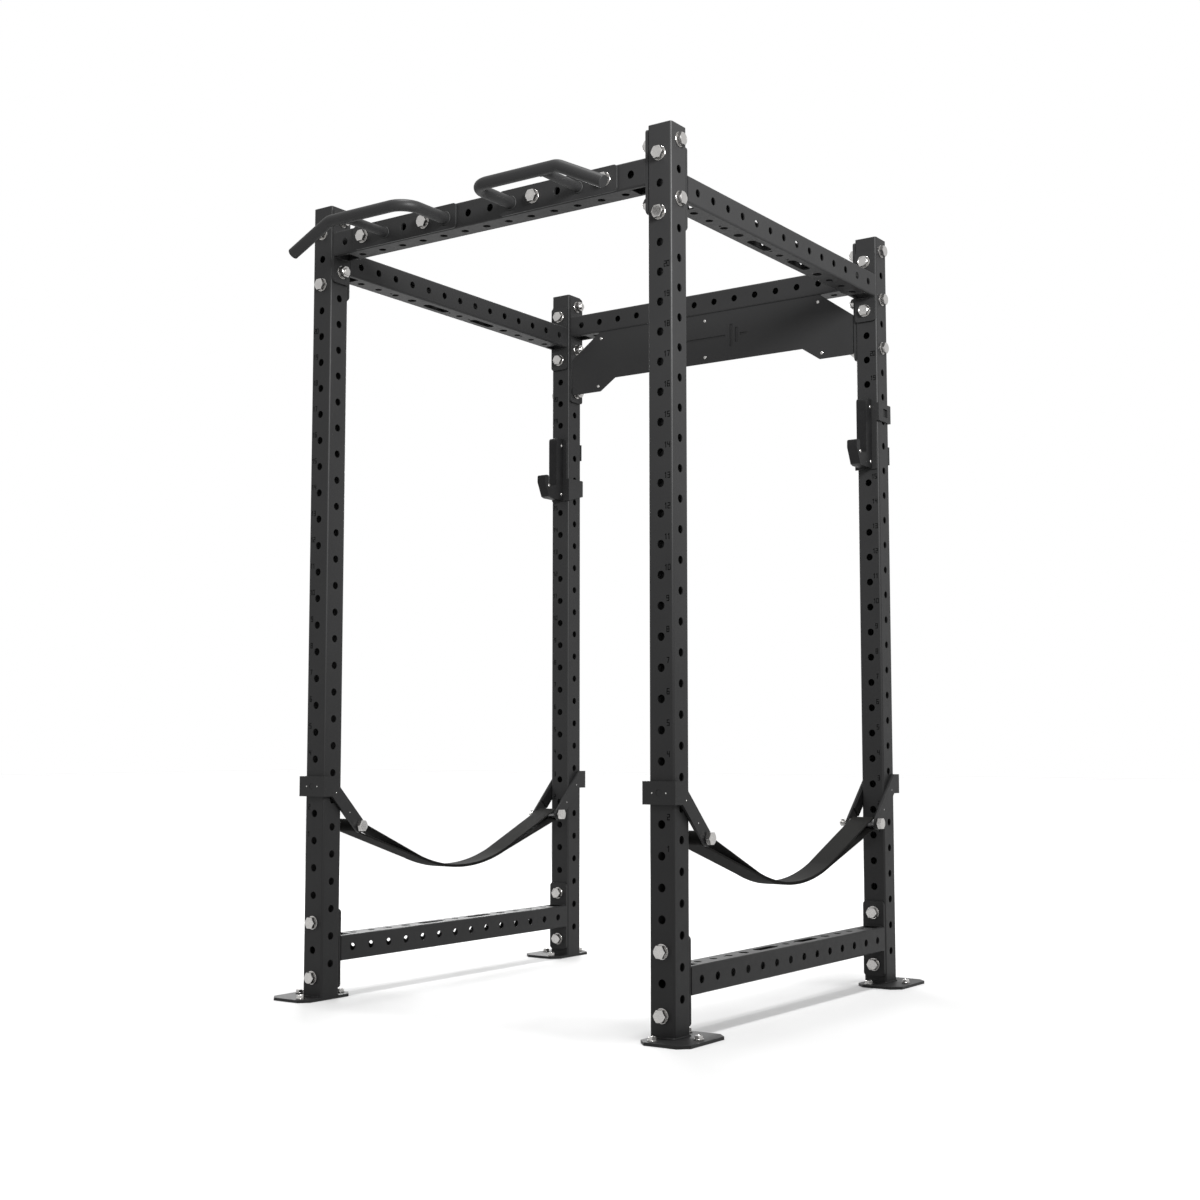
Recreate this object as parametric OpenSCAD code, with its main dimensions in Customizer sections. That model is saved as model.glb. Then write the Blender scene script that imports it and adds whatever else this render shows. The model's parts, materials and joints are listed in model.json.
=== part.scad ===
// Power cage: four drilled uprights on floor plates, bolted beams, pull-up grips,
// a header plate, two twist-in bar hooks and two webbing safety straps.
// X runs across the cage, Y from the entrance to the rear, Z up. The origin is on
// the floor, below the middle of the whole outline. All sizes are in millimetres.

/* [Frame] */
// Hole pitch along every upright and beam
pitch = 75; // [72:1:80]
// Outer side of the square tube
tube = 70; // [66:1:72]
// Wall of the square tube
wall = 3; // [2:0.5:4]
// Outer corner radius of the square tube
tube_r = 6; // [5:0.5:8]
// Hole through the tubes
hole_d = 21; // [18:0.5:22]
// Distance between the left and right upright axes
span_x = 1148; // [1140:1:1160]
// Distance between the front and rear upright axes
span_y = 1154; // [1145:1:1165]
// Holes up the front face of an upright
rows = 29; // [29:1:31]
// Height of the lowest hole above the foot plate
first_hole = 52.5; // [50:0.5:60]
// Upright length above its highest front hole
head_room = 75; // [70:1:80]
// Thickness of the plastic cap that shows on top of an upright
cap_t = 2; // [1:0.5:4]

/* [Foot plates] */
// Thickness of a foot plate
foot_t = 8; // [6:1:10]
// Reach of a foot plate from the upright axis, away from the cage
foot_out = 105; // [100:1:120]
// Half length of a foot plate from front to rear
foot_half = 100; // [96:1:110]
// Corner chamfer of a foot plate
foot_cut = 25; // [15:1:30]
// Hole for an anchor bolt
anchor_d = 14; // [13:0.5:15]
// Distance of the front and rear anchors from the upright axis
anchor_y = 78; // [74:1:84]
// Distance of the outer anchor from the upright axis
anchor_x = 80; // [76:1:84]

/* [Beam ends] */
// Thickness of the plate welded on a beam's end
flange_t = 8; // [6:1:10]
// Width of that plate
flange_w = 66; // [60:1:68]
// Corner radius of that plate
flange_r = 10; // [6:1:14]
// Distance of its bolt holes from its top and bottom edges
flange_edge = 33; // [30:1:36]

/* [Beam slots] */
// Larger hole in the top and bottom of a side beam
big_d = 27; // [24:1:30]
// Length of the long slot in the top and bottom of a side beam
slot_l = 107; // [100:1:112]
// Small hole beside them
small_d = 8; // [6:1:10]
// Length of the access window at a beam's end
window_l = 50; // [40:1:55]
// Width of the access window
window_w = 44; // [36:1:50]

/* [Fasteners] */
// Shank of a frame bolt
bolt_d = 20; // [16:1:20]
// Hexagon head across flats
hex_af = 30; // [28:1:32]
// Head height
head_h = 12.5; // [11:0.5:14]
// Nut height
nut_h = 16; // [14:1:18]
// Washer outer diameter
washer_d = 37; // [34:1:38]
// Washer thickness
washer_t = 3; // [2.5:0.5:4]
// Thread past the nut
thread_out = 6; // [4:1:10]
// Anchor bolt shank
anchor_bolt_d = 12; // [10:1:12]
// Anchor bolt head across flats
anchor_af = 19; // [17:1:19]

/* [Header plate] */
// Thickness of the header plate and of the sheet behind it
sheet_t = 3; // [2:0.5:4]
// How far the header plate lies behind the rear beam's front face
sheet_inset = 5; // [4:1:8]
// Half length of the header plate
header_half = 527; // [520:1:529]
// Height of the header plate's deep ends below the beam
header_deep = 202; // [198:1:206]
// Height of the header plate's middle below the beam
header_mid = 162; // [158:1:168]

/* [Grips] */
// Grip tube diameter
grip_d = 32; // [28:1:34]
// Brace tube diameter
brace_d = 25; // [22:1:28]
// Distance from the beam's front face to the grip's bar axis
grip_reach = 168; // [150:1:180]
// Thickness of the grip's mounting plate
grip_plate_t = 6; // [5:1:8]
// Bend radius of the grip tube at its axis
grip_bend = 52; // [42:1:56]
// How far the free end drops below the bar
grip_drop = 68; // [50:1:80]

/* [Bar hooks] */
// Height of the hook's pin, as a hole number
hook_row = 17; // [12:1:20]
// Hook plate thickness
hook_t = 5; // [4:0.5:6]
// Width of the plastic liner
liner_w = 32; // [28:1:36]
// Gap between a hook or strap bracket and its upright
side_gap = 0.5; // [0.4:0.1:0.8]

/* [Safety straps] */
// Height of the strap bracket's pin, as a hole number
strap_row = 3; // [2:1:6]
// Bracket plate thickness
arm_t = 6; // [5:0.5:8]
// Plastic pad thickness between bracket and upright
pad_t = 5.5; // [4:0.5:6]
// Half width of a bracket's arm
arm_r = 20; // [18:1:22]
// Distance of the strap's axle from the upright axis, along Y and down
axle_y = 100; // [96:1:106]
// Drop of the strap's axle below the bracket's pin
axle_drop = 112.5; // [108:0.5:116]
// Outer diameter of the spacer sleeve on the axle
sleeve_d = 26; // [25:1:28]
// Webbing width
strap_w = 68; // [60:1:70]
// Thickness of one layer of webbing
web_t = 4.5; // [3:0.5:5]
// Slope of the strap's straight stretches, in degrees
strap_slope = 20.5; // [18:0.5:22]
// Half length of the strap's curved belly
belly = 200; // [180:5:220]

/* [Hidden] */
$fn = 48;
e = 1;
px = span_x / 2;
py = span_y / 2;
th = tube / 2;
post_l = first_hole + (rows - 1) * pitch + head_room;
low_row = -4;
// The modules put Y = 0 midway between the uprights; the grips reach further forward
// than the foot plates reach back, and the drawing is moved back by half of that
swell = 0.1;
reach_front = th + grip_reach + (grip_d + swell) / 2;
rack_y = (reach_front - foot_half) / 2;
function row_z(n) = foot_t + first_hole + (n - low_row) * pitch;
top_z = foot_t + post_l;
x_beam_l = span_x - tube;
y_beam_l = span_y - tube;
beam_holes = 14;
x_beam_z = row_z(23.5);
side_top_z = row_z(23);
side_low_z = row_z(-3);
header_y = py - th + sheet_inset;
under_beam = x_beam_z - th;
hook_z = row_z(hook_row);
strap_z = row_z(strap_row);
pin_play = 0.05;
pin_d = hole_d - 2 * pin_play;
steel = [0.16, 0.16, 0.165];
zinc = [0.83, 0.83, 0.84];
plastic = [0.07, 0.07, 0.075];
webbing = [0.17, 0.17, 0.15];

// Corners of the cage: name, X side and Y side
corners = [["fl", -1, -1], ["fr", 1, -1], ["rl", -1, 1], ["rr", 1, 1]];
sides = [["l", -1], ["r", 1]];
single_parts = ["end_caps", "anchor_bolts", "anchor_washers", "front_beam", "rear_beam",
    "header_plate", "header_screws", "frame_bolts", "frame_washers", "frame_nuts",
    "grip_bolts", "grip_washers", "grip_nuts"];
corner_parts = ["upright_", "foot_", "strap_bracket_", "strap_pad_", "strap_screws_",
    "strap_sleeve_", "strap_bolt_"];
side_parts = ["side_beam_top_", "side_beam_low_", "grip_", "hook_plate_", "hook_liner_",
    "hook_pin_", "hook_screws_", "strap_"];

// Basic shapes -----------------------------------------------------------

// Rounded rectangle made of squares and circles
module plate2d(w, h, r) {
    square([w, h - 2 * r], center = true);
    square([w - 2 * r, h], center = true);
    for (x = [-1, 1], y = [-1, 1])
        translate([x * (w / 2 - r), y * (h / 2 - r)]) circle(r);
}

// Square tube along +Z, centred on its length
module tube_z(l) {
    linear_extrude(l, center = true)
        difference() {
            plate2d(tube, tube, tube_r);
            plate2d(tube - 2 * wall, tube - 2 * wall, tube_r - wall);
        }
}

module along_x() { rotate([0, 90, 0]) children(); }
module along_y() { rotate([-90, 0, 0]) children(); }

// Through hole along Z, longer than any part that it crosses
module hole_z(d, l = tube + 4 * flange_t) { cylinder(h = l, d = d, center = true); }

// Points of an arc about the centre c, from angle a0 to angle a1
function arc(c, r, a0, a1, n = 8) =
    [for (i = [0 : n]) let (a = a0 + (a1 - a0) * i / n) c + r * [cos(a), sin(a)]];

module slot2d(l, w) {
    square([l - w, w], center = true);
    for (x = [-1, 1]) translate([x * (l - w) / 2, 0]) circle(d = w);
}

// Hexagon bolt: the head's underside at Z = 0, the shank down along -Z
module hex_bolt(af, h, d, l) {
    cylinder(h = h - 0.5, d = af / cos(30), $fn = 6);
    translate([0, 0, h - 0.5]) cylinder(h = 0.5, d = af * 0.95);
    translate([0, 0, -l]) cylinder(h = l, d = d);
}

module washer(od, id, t) {
    difference() {
        cylinder(h = t, d = od);
        translate([0, 0, -e]) cylinder(h = t + 2 * e, d = id);
    }
}

module nut(af, h, d) {
    difference() {
        cylinder(h = h, d = af / cos(30), $fn = 6);
        translate([0, 0, -e]) cylinder(h = h + 2 * e, d = d);
    }
}

// Turns a part that points along +Z so that it points along the given direction
module face(dir) {
    if (dir == "+x") along_x() children();
    else if (dir == "-x") rotate([0, -90, 0]) children();
    else if (dir == "+y") along_y() children();
    else rotate([90, 0, 0]) children();
}

// Uprights and feet --------------------------------------------------------

module upright(sx, sy) {
    color(steel) translate([sx * px, sy * py, foot_t]) difference() {
        translate([0, 0, post_l / 2]) tube_z(post_l);
        for (i = [0 : rows - 1]) {
            translate([0, 0, first_hole + i * pitch]) along_y() hole_z(hole_d);
            translate([0, 0, first_hole + (i + 0.5) * pitch]) along_x() hole_z(hole_d);
        }
    }
}

// One foot plate: flush with the upright on the inside, chamfered corners
module foot(sx, sy) {
    a = foot_out;
    b = foot_half;
    c = foot_cut;
    outline = [[-th, -b + c], [-th + c, -b], [a - c, -b], [a, -b + c],
        [a, b - c], [a - c, b], [-th + c, b], [-th, b - c]];
    color(steel) translate([sx * px, sy * py, 0]) mirror([sx < 0 ? 1 : 0, 0, 0]) difference() {
        linear_extrude(foot_t) polygon(outline);
        for (p = anchor_spots) translate([p[0], p[1], 0]) hole_z(anchor_d);
    }
}

anchor_spots = [[0, -anchor_y], [0, anchor_y], [anchor_x, 0]];

module at_anchors() {
    for (c = corners, p = anchor_spots)
        translate([c[1] * (px + p[0]), c[2] * py + p[1], foot_t]) children();
}

module anchor_bolts() {
    color(zinc) at_anchors() translate([0, 0, washer_t])
        hex_bolt(anchor_af, 7.5, anchor_bolt_d, foot_t + washer_t);
}

module anchor_washers() {
    color(zinc) at_anchors() washer(24, anchor_bolt_d + 1, washer_t);
}

// Plastic plugs pressed into the tops of the uprights
module end_caps() {
    inner = tube - 2 * wall;
    color(plastic) for (c = corners) translate([c[1] * px, c[2] * py, top_z]) {
        linear_extrude(cap_t) plate2d(tube, tube, tube_r);
        translate([0, 0, -12]) linear_extrude(12) difference() {
            plate2d(inner - 0.2, inner - 0.2, tube_r - wall);
            plate2d(inner - 6, inner - 6, 1);
        }
    }
}

// Beams -------------------------------------------------------------------

// Drilled end plate, standing in the XY plane with its bolts along Y
module flange(bolts) {
    h = (bolts - 1) * 2 * pitch + 2 * flange_edge;
    linear_extrude(flange_t) difference() {
        plate2d(flange_w, h, flange_r);
        for (i = [0 : bolts - 1])
            translate([0, (i - (bolts - 1) / 2) * 2 * pitch]) circle(d = hole_d);
    }
}

// Beam along X, its tube centred on the origin. bolts is the number of bolts at
// each end, drop moves the end plates down and pattern picks the vertical holes.
module beam_x(l, bolts, drop, pattern) {
    difference() {
        along_x() tube_z(l - 2 * flange_t);
        for (i = [0 : beam_holes - 1])
            translate([(i - (beam_holes - 1) / 2) * pitch, 0, 0]) along_y() hole_z(hole_d);
        if (pattern == "plain")
            for (i = [-6 : 6]) translate([i * pitch, 0, 0]) hole_z(hole_d);
        else {
            hole_z(hole_d);
            for (s = [-1, 1]) side_beam_cuts(s);
        }
        for (s = [-1, 1])
            translate([s * (l / 2 - flange_t - window_l / 2), 0, 0])
                cube([window_l, window_w, tube + 2 * e], center = true);
    }
    for (s = [-1, 1])
        translate([s * (l / 2 - flange_t / 2), 0, -drop])
            along_x() translate([0, 0, -flange_t / 2]) rotate([0, 0, 90]) flange(bolts);
}

// Vertical holes and slots in one half of a side beam
module side_beam_cuts(s) {
    for (i = [4, 5, 6]) translate([s * i * pitch, 0, 0]) hole_z(hole_d);
    translate([s * 3 * pitch, 0, 0]) hole_z(big_d);
    translate([s * 1.5 * pitch, 0, 0])
        linear_extrude(tube + 2 * e, center = true) slot2d(slot_l, big_d);
    for (x = [48, 320]) translate([s * x, 0, 0]) hole_z(small_d);
}

module front_beam() {
    color(steel) translate([0, -py, x_beam_z]) beam_x(x_beam_l, 2, 0, "plain");
}

module side_beam(sx, z) {
    color(steel) translate([sx * px, 0, z]) rotate([0, 0, 90]) beam_x(y_beam_l, 2, 0, "slots");
}

// Outline of the header plate in X and Z, with Z = 0 at the beam's underside
module header2d(half, deep, mid) {
    points = [[415, 0], [half, -80], [half, -deep], [412, -deep], [352, -mid]];
    polygon(concat(points, [for (i = [len(points) - 1 : -1 : 0]) [-points[i][0], points[i][1]]]));
}

header_screw_spots = [[0, -22], [0, -142], [409, -22], [-409, -22], [420, -184], [-420, -184]];

// Rear beam with three-bolt end plates and a welded backing sheet below it
module rear_beam() {
    color(steel) {
        translate([0, py, x_beam_z]) beam_x(x_beam_l, 3, pitch, "plain");
        translate([0, header_y + sheet_t, under_beam]) difference() {
            rotate([90, 0, 0]) mirror([0, 0, 1]) linear_extrude(sheet_t)
                header2d(header_half, header_deep - 4, header_mid - 4);
            for (p = header_screw_spots) translate([p[0], 0, p[1]]) along_y() hole_z(6);
        }
    }
}

// Header plate with a cut-out picture of a loaded bar
module header_plate() {
    color(steel) translate([0, header_y, under_beam]) difference() {
        rotate([90, 0, 0]) mirror([0, 0, 1]) linear_extrude(sheet_t) difference() {
            header2d(header_half, header_deep, header_mid);
            translate([0, -82]) bar_symbol();
        }
        for (p = header_screw_spots) translate([p[0], 0, p[1]]) along_y() hole_z(6);
    }
}

// Plain picture of a loaded bar: a shaft with two discs at each end
module bar_symbol() {
    square([150, 8], center = true);
    for (s = [-1, 1]) {
        translate([s * 97, 0]) square([10, 72], center = true);
        translate([s * 117, 0]) square([10, 48], center = true);
        translate([s * 142, 0]) square([24, 8], center = true);
    }
}

module header_screws() {
    color(zinc) for (p = header_screw_spots)
        translate([p[0], header_y, under_beam + p[1]]) face("-y") {
            cylinder(h = 2, d = 10);
            translate([0, 0, -2 * sheet_t - 4]) cylinder(h = 2 * sheet_t + 4, d = 5.8);
        }
}

// Frame bolts ---------------------------------------------------------------

// Every frame bolt: [point where the head sits, direction of the head, clamped length].
// Bolts of the cross beams run along X, and those of the side beams along Y.
x_grip = tube + flange_t;
x_bolt_spots = concat(
    [for (s = [-1, 1], n = [22.5, 24.5]) [s, -1, n]],
    [for (s = [-1, 1], n = [20.5, 22.5, 24.5]) [s, 1, n]]);
y_bolt_spots = [for (c = corners, n = [-4, -2, 22, 24]) [c[1], c[2], n]];

module at_x_bolts() {
    for (b = x_bolt_spots)
        translate([b[0] * (px + th), b[1] * py, row_z(b[2])]) face(b[0] > 0 ? "+x" : "-x") children();
}

// Heads of the front uprights' bolts are in front, those of the rear ones inside
module at_y_bolts() {
    for (b = y_bolt_spots)
        translate([b[0] * px, b[1] * py - th - (b[1] > 0 ? flange_t : 0), row_z(b[2])])
            face("-y") children();
}

module frame_bolts() {
    l = x_grip + 2 * washer_t + nut_h + thread_out;
    color(zinc) {
        at_x_bolts() translate([0, 0, washer_t]) hex_bolt(hex_af, head_h, bolt_d, l);
        at_y_bolts() translate([0, 0, washer_t]) hex_bolt(hex_af, head_h, bolt_d, l);
    }
}

module washer_pair(grip) {
    washer(washer_d, bolt_d + 1, washer_t);
    translate([0, 0, -grip - washer_t]) washer(washer_d, bolt_d + 1, washer_t);
}

module frame_washers() {
    color(zinc) {
        at_x_bolts() washer_pair(x_grip);
        at_y_bolts() washer_pair(x_grip);
    }
}

module frame_nuts() {
    color(zinc) {
        at_x_bolts() translate([0, 0, -x_grip - washer_t - nut_h]) nut(hex_af, nut_h, bolt_d);
        at_y_bolts() translate([0, 0, -x_grip - washer_t - nut_h]) nut(hex_af, nut_h, bolt_d);
    }
}

// Pull-up grips ---------------------------------------------------------------

grip_mid = 3.5 * pitch;
grip_bolt_spots = [grip_mid - pitch, grip_mid + 2 * pitch];
grip_x1 = 1.5 * pitch;
grip_x2 = 384;
brace_x = 330;
grip_z = -4;
end_run = 138;
// The straight runs of the tube enter its bends, which are thicker by swell
entry = 1;

// Round bar between two points
module rod(a, b, d) {
    v = b - a;
    l = norm(v);
    translate(a) rotate([0, acos(v[2] / l), atan2(v[1], v[0])]) cylinder(h = l, d = d);
}

// Bend of the grip tube in the XY plane, its centre of curvature at the origin
module bend(angle) {
    rotate_extrude(angle = angle) translate([grip_bend, 0]) circle(d = grip_d + swell);
}

// Grip on the +X side; the origin is on the beam's front face at the beam's axis
module grip_shape() {
    t = grip_plate_t;
    y_bar = -grip_reach;
    fall = atan(grip_drop / end_run);
    cut = grip_bend * tan(fall / 2);
    difference() {
        translate([grip_mid, 0, 0]) rotate([90, 0, 0]) linear_extrude(t)
            plate2d(5 * pitch, tube - 2, flange_r);
        for (x = grip_bolt_spots) translate([x, 0, 0]) along_y() hole_z(hole_d, 40);
        translate([grip_mid, 0, 0]) along_y() hole_z(hole_d, 40);
    }
    translate([grip_x1, 0, grip_z]) {
        rod([0, entry - t, 0], [0, y_bar + grip_bend - entry, 0], grip_d);
        translate([grip_bend, y_bar + grip_bend, 0]) rotate([0, 0, 180]) bend(90);
    }
    translate([0, y_bar, grip_z]) {
        rod([grip_x1 + grip_bend - entry, 0, 0], [grip_x2 - cut + entry, 0, 0], grip_d);
        translate([grip_x2 - cut, 0, -grip_bend]) rotate([90, 0, 0]) rotate([0, 0, 90 - fall]) bend(fall);
        rod([grip_x2 + (cut - entry) * cos(fall), 0, (entry - cut) * sin(fall)],
            [grip_x2 + end_run, 0, -grip_drop], grip_d);
    }
    rod([brace_x, entry - t, grip_z], [brace_x, y_bar, grip_z], brace_d);
}

module grip(sx) {
    color(steel) translate([0, -py - th, x_beam_z]) mirror([sx < 0 ? 1 : 0, 0, 0]) grip_shape();
}

module at_grip_bolts() {
    for (s = [-1, 1], x = grip_bolt_spots)
        translate([s * x, -py - th - grip_plate_t, x_beam_z]) face("-y") children();
}

module grip_bolts() {
    l = tube + grip_plate_t + 2 * washer_t + nut_h + thread_out;
    color(zinc) at_grip_bolts() translate([0, 0, washer_t]) hex_bolt(hex_af, head_h, bolt_d, l);
}

module grip_washers() {
    color(zinc) at_grip_bolts() washer_pair(tube + grip_plate_t);
}

module grip_nuts() {
    color(zinc) at_grip_bolts()
        translate([0, 0, -tube - grip_plate_t - washer_t - nut_h]) nut(hex_af, nut_h, bolt_d);
}

// Bar hooks -------------------------------------------------------------------

// A hook is drawn about its pin's axis, on the front face of a right-hand upright:
// +X is the outer side of the cage. Its lugs wrap the upright at opposite corners,
// so it goes on and off only when it is turned by a quarter.
wrap = th + side_gap;
lug_in = wrap;
lug_out = 90;
hook_top = 101;
hook_low = -110;

// Lug that wraps the outer side and the rear of the upright, above the pin. Its
// far edge slopes from reach at the front to lug_out at the rear.
module lug(reach) {
    w = wrap + hook_t;
    translate([0, -w, lug_in]) cube([w, hook_t, reach - lug_in]);
    translate([wrap, 0, 0]) rotate([90, 0, 90]) linear_extrude(hook_t)
        polygon([[-w, lug_in], [w, lug_in], [w, lug_out], [-w, reach]]);
    translate([-th, wrap, lug_in]) cube([th + w, hook_t, lug_out - lug_in]);
}

// Side view of the hook's liner in Y and Z: a tall back with a raised lip in front
liner_back = -wrap - hook_t;
back_front = -78;
saddle_z = -68;
lip_in = -121;
lip_front = -143;
lip_top = -33;
core_t = 8;
core_gap = 0.1;

// The outline shrunk by inset: with inset = 0 it is the liner, else the steel core inside it
module hook_outline(inset) {
    i = inset;
    polygon(concat(
        [[liner_back, hook_top - i]],
        arc([back_front + 12, hook_top - 12], 12 - i, 90, 180),
        arc([back_front - 10, saddle_z + 10], 10 + i, 0, -90),
        arc([lip_in + 6, saddle_z + 6], 6 + i, 270, 180),
        arc([lip_in - 6, lip_top - 6], 6 - i * 0.5, 0, 90),
        arc([lip_front + 9, lip_top - 9], 9 - i, 90, 165),
        [[lip_front + i, lip_top - 24], [lip_front + 22 + i, hook_low + i + 6],
            [lip_front + 34 + i, hook_low + i + 2], [liner_back, hook_low + i + 2]]));
}

hook_screw_spots = [[-50, 77], [-121, -67], [-50, -89]];

module hook_screw_holes(d) {
    for (p = hook_screw_spots) translate([0, p[0], p[1]]) along_x() hole_z(d, liner_w + 20);
}

// Steel plate with its two lugs and the core inside the liner
module hook_plate_shape() {
    difference() {
        union() {
            translate([-31, -wrap - hook_t, hook_low]) cube([62, hook_t, hook_top - hook_low]);
            lug(lug_out);
            mirror([1, 0, 0]) mirror([0, 0, 1]) lug(-hook_low);
            translate([-core_t / 2, 0, 0]) rotate([90, 0, 90]) linear_extrude(core_t) hook_outline(core_t);
        }
        along_y() hole_z(pin_seat, 4 * tube);
        translate([0, 4, (lug_in + lug_out) / 2]) rotate([90, 0, 90])
            linear_extrude(4 * tube) plate2d(30, 25, 4);
        hook_screw_holes(6);
    }
}

pin_seat = 20;

module hook_liner_shape() {
    difference() {
        translate([-liner_w / 2, 0, 0]) rotate([90, 0, 90]) linear_extrude(liner_w) hook_outline(0);
        translate([-core_t / 2 - core_gap, 0, 0]) rotate([90, 0, 90])
            linear_extrude(core_t + 2 * core_gap) hook_outline(core_t - core_gap);
        hook_screw_holes(6);
    }
}

// Pin welded into the plate; its head fills the seat in the plate and the core
module hook_pin_shape() {
    along_y() {
        translate([0, 0, -wrap - hook_t + 1]) cylinder(h = hook_t - 1, d = pin_seat);
        translate([0, 0, -wrap]) cylinder(h = wrap + 12, d = pin_d);
        translate([0, 0, 12]) cylinder(h = 4, d = pin_d - 4);
    }
}

module hook_screws_shape() {
    for (p = hook_screw_spots) translate([0, p[0], p[1]]) along_x() {
        cylinder(h = liner_w, d = 5.8, center = true);
        for (s = [-1, 1]) translate([0, 0, s * (liner_w / 2 + 1)]) cylinder(h = 2, d = 10, center = true);
    }
}

module at_hook(sx) {
    translate([sx * px, py + rack_y, hook_z]) mirror([sx < 0 ? 1 : 0, 0, 0]) children();
}

// Strap brackets ----------------------------------------------------------------

// A bracket is drawn about the crossing of its pin's axis and the upright's axis.
// +Y points into the cage: the plate is on -Y and the arms reach down along +Y.
arm_in = th + side_gap + pad_t;
arm_out = arm_in + arm_t;
plate_half = 28;
pin_end = -17;
knee = arm_r * sqrt(2);

// Side view of an arm, in Y and Z
module arm2d(r, start) {
    s = r * sqrt(0.5);
    y_top = axle_y + s - (axle_drop - s + plate_half);
    y_low = axle_y - s - (axle_drop + s - plate_half);
    polygon([[start, plate_half], [y_top, plate_half], [axle_y + s, -axle_drop + s],
        [axle_y - s, -axle_drop - s], [y_low, -plate_half], [start, -plate_half]]);
    translate([axle_y, -axle_drop]) circle(r);
}

pad_screw_spots = [[3, -18], [58, -74]];

module strap_bracket_shape() {
    difference() {
        union() {
            translate([-arm_out, -arm_out, -plate_half]) cube([2 * arm_out, arm_t, 2 * plate_half]);
            for (s = [-1, 1]) translate([s * (arm_in + arm_t / 2) - arm_t / 2, 0, 0])
                rotate([90, 0, 90]) linear_extrude(arm_t) arm2d(arm_r, -arm_out);
        }
        translate([0, axle_y, -axle_drop]) along_x() hole_z(bolt_d + 0.5, 4 * tube);
        for (p = pad_screw_spots) translate([0, p[0], p[1]]) along_x() hole_z(4.2, 4 * tube);
        for (x = [-20, 20]) translate([x, -arm_out, 0]) along_y() hole_z(4.2, 20);
        translate([0, -arm_out, 0]) along_y() cylinder(h = 1, d = 18);
    }
    translate([0, -arm_in, 0]) along_y() cylinder(h = arm_in + pin_end - 3, d = pin_d);
    translate([0, pin_end - 3, 0]) along_y() cylinder(h = 3, d = pin_d - 3);
}

// Distance from the axle at which the pads end
pad_end = 42;

// Plastic pads between the bracket and the upright, one piece
module strap_pad_shape() {
    difference() {
        union() {
            translate([-arm_in, -arm_in, -plate_half]) cube([2 * arm_in, pad_t, 2 * plate_half]);
            for (s = [-1, 1]) translate([s * (arm_in - pad_t / 2) - pad_t / 2, 0, 0])
                rotate([90, 0, 90]) linear_extrude(pad_t) difference() {
                    arm2d(arm_r - 2, -arm_in);
                    translate([axle_y, -axle_drop]) rotate(-45) translate([-pad_end, -axle_y])
                        square(2 * axle_y);
                }
        }
        along_y() cylinder(h = 4 * tube, d = pin_d + 0.2, center = true);
        for (p = pad_screw_spots) translate([0, p[0], p[1]]) along_x() hole_z(4.2, 4 * tube);
        for (x = [-20, 20]) translate([x, -arm_in, 0]) along_y() hole_z(4.2, 20);
    }
}

// Countersunk screws that hold the pads, flush with the steel
module strap_screws_shape() {
    for (x = [-20, 20]) translate([x, -arm_out, 0]) along_y() cylinder(h = arm_t + pad_t - 1, d = 4);
    for (s = [-1, 1], p = pad_screw_spots)
        translate([s * arm_out, p[0], p[1]]) face(s > 0 ? "-x" : "+x")
            cylinder(h = arm_t + pad_t - 1, d = 4);
}

module strap_sleeve_shape() {
    translate([0, axle_y, -axle_drop]) along_x() difference() {
        hole_z(sleeve_d, 2 * arm_in);
        hole_z(bolt_d + 0.4, 4 * tube);
    }
}

// Axle bolt with its washers and nut; the head is on the bracket's +X side
module strap_bolt_shape() {
    l = 2 * arm_out + 2 * washer_t + nut_h + thread_out;
    translate([arm_out, axle_y, -axle_drop]) along_x() {
        translate([0, 0, washer_t]) hex_bolt(hex_af, head_h, bolt_d, l);
        translate([0, 0, -2 * arm_out - washer_t - nut_h]) nut(hex_af, nut_h, bolt_d);
        washer_pair(2 * arm_out);
    }
}

// Puts a bracket on a corner; turned round at the rear, with its head kept towards +X
module at_bracket(c) {
    translate([c[1] * px, c[2] * py + rack_y, strap_z]) mirror([0, c[2] > 0 ? 1 : 0, 0]) children();
}

// Straps ------------------------------------------------------------------------

// A strap is a loop of webbing around both sleeves. Its two layers lie together in a
// curved belly and part from the belly's ends towards the sleeves.
sleeve_y = py - axle_y;
sleeve_z = strap_z - axle_drop;
loop_in = sleeve_d / 2 + 0.4;
belly_r = belly / sin(strap_slope);
belly_z = sleeve_z - (sleeve_y - belly) * tan(strap_slope) - belly_r * (1 - cos(strap_slope));
free_l = (sleeve_y - belly) / cos(strap_slope);
parting = asin(loop_in / free_l);

// Half of the strap's side view in Y and Z, from its middle round a sleeve and back
function strap_half() =
    let (q = strap_slope, c = [0, belly_z + belly_r], o = [sleeve_y, sleeve_z])
    concat(
        arc(c, belly_r - web_t, -90, -90 + q, 12),
        arc(o, loop_in + web_t, 90 + q + parting, -90 + q - parting, 24),
        arc(c, belly_r + web_t, -90 + q, -90, 12));

half = strap_half();
strap_outline = concat(half, [for (i = [len(half) - 2 : -1 : 1]) [-half[i][0], half[i][1]]]);

// Space between the layers, from the belly's end to the sleeve
module strap_gap() {
    o = [sleeve_y, sleeve_z];
    far = 0.95 * loop_in;
    up = 90 + strap_slope + parting;
    low = -90 + strap_slope - parting;
    translate(o) circle(loop_in);
    polygon([[belly, belly_z + belly_r * (1 - cos(strap_slope))],
        o + far * [cos(up), sin(up)], o + far * [cos(low), sin(low)]]);
}

module strap(sx) {
    color(webbing) translate([sx * px - strap_w / 2, 0, 0]) rotate([90, 0, 90])
        linear_extrude(strap_w) difference() {
            polygon(strap_outline);
            for (s = [0, 1]) mirror([s, 0]) strap_gap();
        }
}

// Drawing -------------------------------------------------------------------------

module placed() { translate([0, rack_y, 0]) children(); }

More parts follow.
